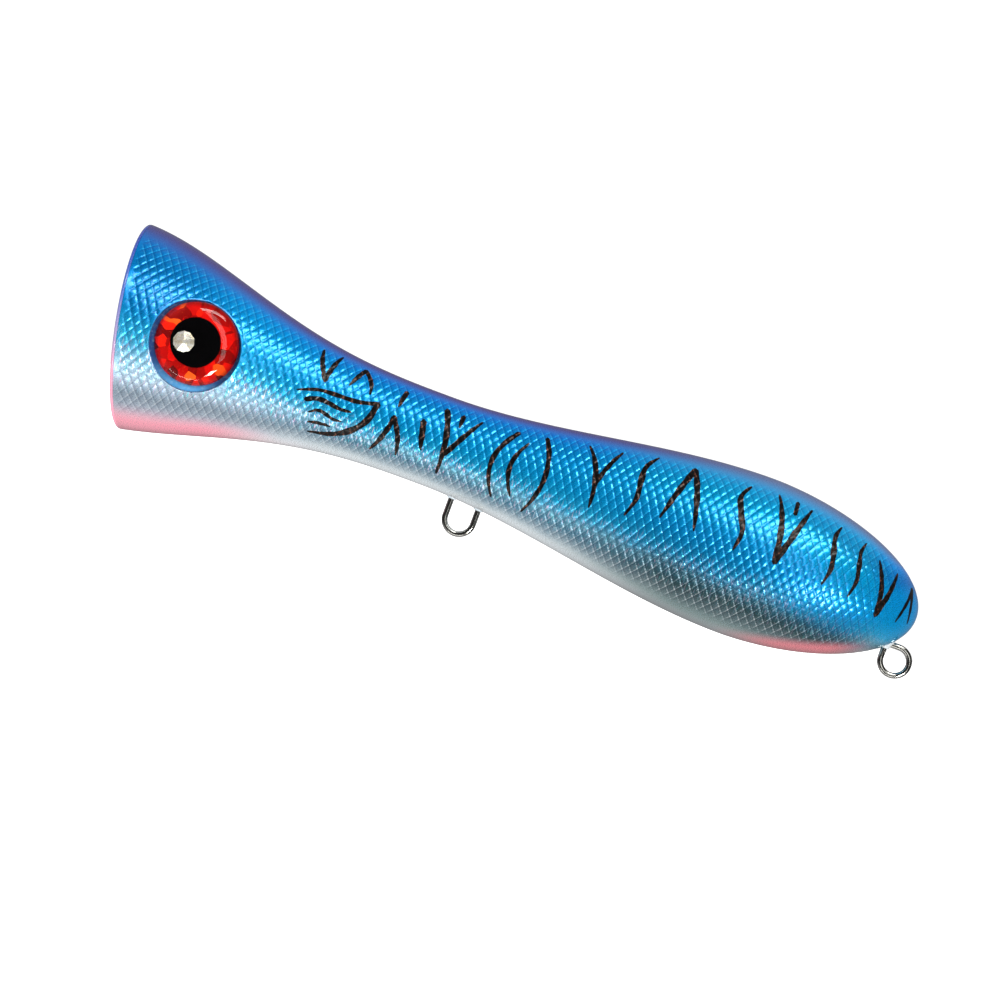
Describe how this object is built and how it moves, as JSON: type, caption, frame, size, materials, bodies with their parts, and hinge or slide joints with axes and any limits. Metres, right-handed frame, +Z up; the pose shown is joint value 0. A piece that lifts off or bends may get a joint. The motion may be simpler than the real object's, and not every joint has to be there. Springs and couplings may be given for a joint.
{
  "type": "topwater popper",
  "caption": "Large surface popper with a flared cupped head, slim waist, full round belly, wire tow eye, belly hanger, tail ring and an internal ball rattle.",
  "frame": {"origin": "centre of the tow eye's front bend, on the body's long axis", "axes": "+X along the body from the nose to the tail, +Z up towards the back, -Y towards the left side"},
  "size_m": [0.198, 0.0464, 0.046],
  "materials": {
    "painted_shell": "moulded ABS, embossed, metallic blue over silver with a pink belly and black bars, under clear gloss",
    "stainless_wire": "bright drawn stainless wire",
    "adhesive_pad": "white adhesive foam",
    "red_foil": "red holographic foil",
    "black_disc": "gloss black",
    "silver_stud": "faceted mirror silver",
    "clear_dome": "clear polished resin",
    "ballast_steel": "plain turned steel",
    "clear_tube": "clear moulded plastic",
    "white_plug": "white moulded plastic",
    "ball_steel": "polished bearing steel"
  },
  "bodies": {
    "lure": {"shell_left": "painted_shell", "shell_right": "painted_shell", "through_wire": "stainless_wire", "belly_hanger": "stainless_wire", "eye_pad_left": "adhesive_pad", "iris_foil_left": "red_foil", "pupil_left": "black_disc", "glint_left": "silver_stud", "eye_dome_left": "clear_dome", "eye_pad_right": "adhesive_pad", "iris_foil_right": "red_foil", "pupil_right": "black_disc", "glint_right": "silver_stud", "eye_dome_right": "clear_dome", "ballast_slug": "ballast_steel", "tail_weight": "ballast_steel", "rattle_tube": "clear_tube", "rattle_plug": "white_plug"},
    "ball_1": {"rattle_ball_1": "ball_steel"},
    "ball_2": {"rattle_ball_2": "ball_steel"},
    "ball_3": {"rattle_ball_3": "ball_steel"}
  },
  "joints": [
    {"name": "rattle_roll_1", "type": "slide", "parent": "lure", "child": "ball_1", "axis": [1, 0, 0], "range_m": [-0.0105, 0]},
    {"name": "rattle_roll_2", "type": "slide", "parent": "lure", "child": "ball_2", "axis": [1, 0, 0], "range_m": [-0.0105, 0]},
    {"name": "rattle_roll_3", "type": "slide", "parent": "lure", "child": "ball_3", "axis": [1, 0, 0], "range_m": [-0.0105, 0]}
  ],
  "couplings": [
    {"joint": "rattle_roll_2", "follows": "rattle_roll_1", "ratio": 1},
    {"joint": "rattle_roll_3", "follows": "rattle_roll_1", "ratio": 1}
  ]
}
